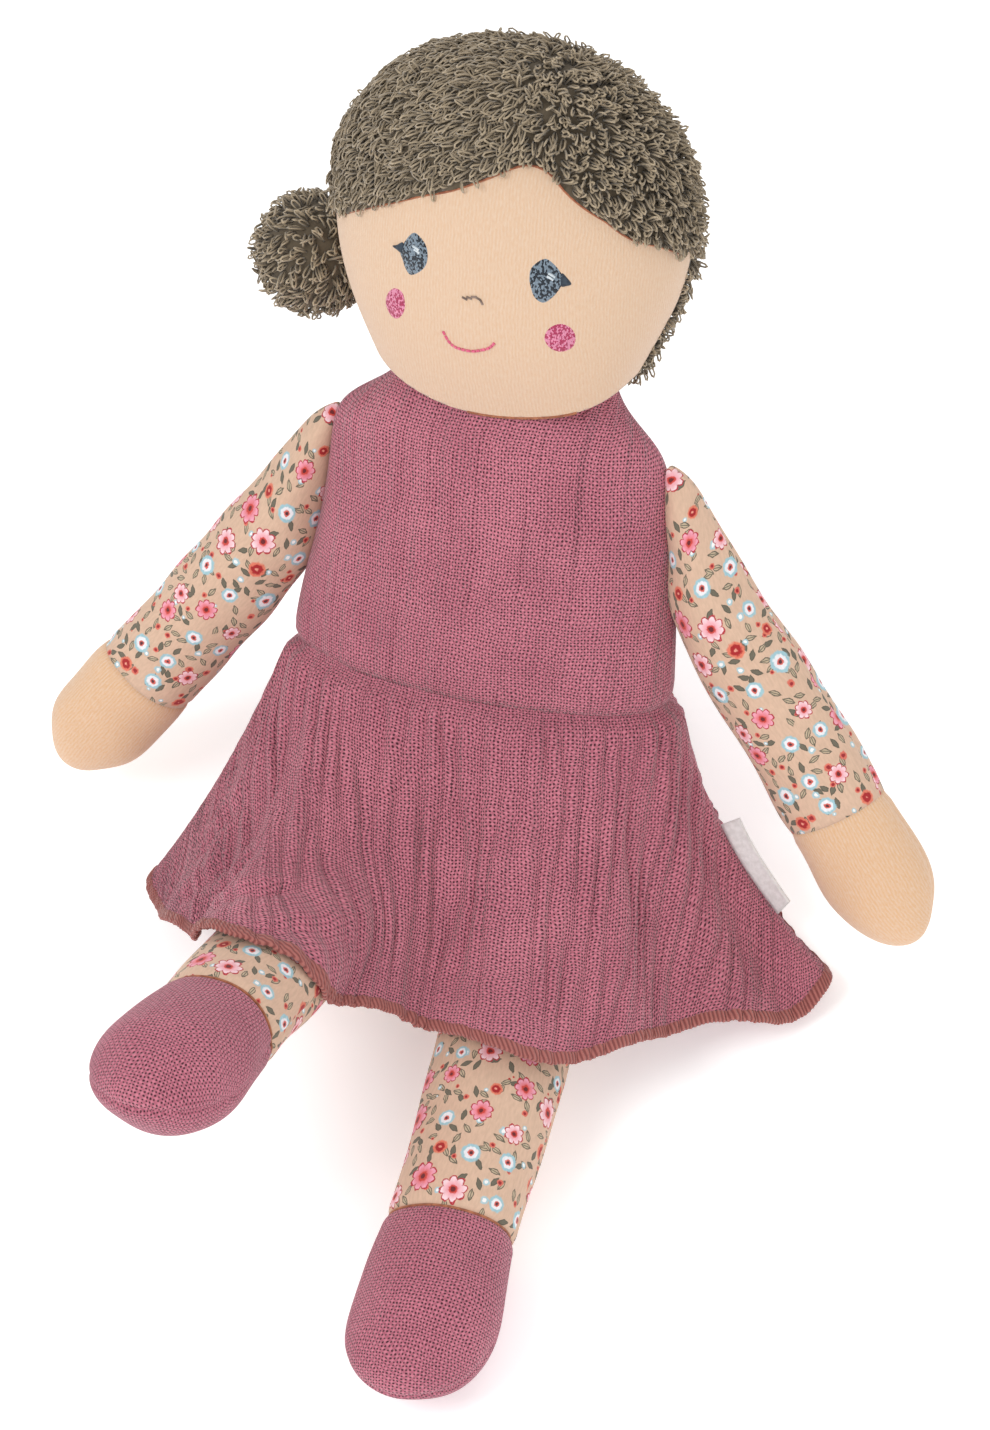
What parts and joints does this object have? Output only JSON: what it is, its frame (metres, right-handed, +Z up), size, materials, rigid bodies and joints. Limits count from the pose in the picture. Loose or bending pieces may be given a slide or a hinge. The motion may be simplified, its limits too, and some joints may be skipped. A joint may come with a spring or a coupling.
{
  "type": "rag doll",
  "caption": "soft rag doll sitting with its legs out, with a gathered skirt, looped terry hair with a side bun, and limbs that swing on their seams",
  "frame": {"origin": "middle of the flat seat, on the surface that the doll sits on", "axes": "+Z up, the doll faces -Y, its right side is at -X"},
  "size_m": [0.2205, 0.2503, 0.1935],
  "materials": {
    "muslin": "matt double-gauze muslin, dusty raspberry rose",
    "jersey": "brushed cotton jersey, peach with a small floral print",
    "velour": "fine cotton velour, peach",
    "hand_velour": "fine cotton velour, orange-peach",
    "terry": "looped cotton terry, taupe",
    "stuffing": "white polyester fibre",
    "eye_thread": "embroidery thread, navy",
    "cheek_felt": "sewn and stitched spot, pink",
    "nose_thread": "embroidery thread, grey-brown",
    "mouth_thread": "embroidery thread, coral",
    "hem_thread": "overlocked thread edge, coral",
    "satin": "bare satin ribbon, off-white"
  },
  "bodies": {
    "torso": {"torso_stuffing": "stuffing", "bodice_front": "muslin", "bodice_back": "muslin", "pants_front": "jersey", "pants_back": "jersey", "skirt_front": "muslin", "skirt_back": "muslin", "skirt_hem_front": "hem_thread", "skirt_hem_back": "hem_thread", "side_tag": "satin"},
    "head": {"head_stuffing": "stuffing", "face_panel": "velour", "hair_front": "terry", "hair_back": "terry", "eye_right": "eye_thread", "eye_left": "eye_thread", "cheek_right": "cheek_felt", "cheek_left": "cheek_felt", "nose_stitch": "nose_thread", "mouth_stitch": "mouth_thread"},
    "bun": {"bun_cover": "terry", "bun_stuffing": "stuffing"},
    "arm_right": {"sleeve_right": "jersey", "hand_right": "hand_velour", "arm_stuffing_right": "stuffing"},
    "arm_left": {"sleeve_left": "jersey", "hand_left": "hand_velour", "arm_stuffing_left": "stuffing"},
    "leg_right": {"legging_right": "jersey", "shoe_right": "muslin", "leg_stuffing_right": "stuffing"},
    "leg_left": {"legging_left": "jersey", "shoe_left": "muslin", "leg_stuffing_left": "stuffing"}
  },
  "joints": [
    {"name": "neck_nod", "type": "hinge", "parent": "torso", "child": "head", "pos_m": [0, 0.0454, 0.1117], "axis": [1, 0, 0], "range_deg": [-20, 20], "stiffness_Nm_per_rad": 0.08},
    {"name": "bun_flop", "type": "hinge", "parent": "head", "child": "bun", "pos_m": [-0.03843, 0.06929, 0.13656], "axis": [0, 0.891, -0.454], "range_deg": [-20, 20], "stiffness_Nm_per_rad": 0.01},
    {"name": "shoulder_right", "type": "hinge", "parent": "torso", "child": "arm_right", "pos_m": [-0.04084, 0.03982, 0.10074], "axis": [0.1447, 0.4492, 0.8816], "range_deg": [-40, 40]},
    {"name": "shoulder_left", "type": "hinge", "parent": "torso", "child": "arm_left", "pos_m": [0.04084, 0.03982, 0.10074], "axis": [-0.1447, 0.4492, 0.8816], "range_deg": [-40, 40]},
    {"name": "hip_right", "type": "hinge", "parent": "torso", "child": "leg_right", "pos_m": [-0.0198, -0.02125, 0.02063], "axis": [-1, 0, 0], "range_deg": [-89, 36], "deforming": ["skirt_front", "skirt_back", "skirt_hem_front", "skirt_hem_back", "side_tag"]},
    {"name": "hip_left", "type": "hinge", "parent": "torso", "child": "leg_left", "pos_m": [0.0198, -0.02125, 0.02063], "axis": [-1, 0, 0], "range_deg": [-59, 65]}
  ]
}
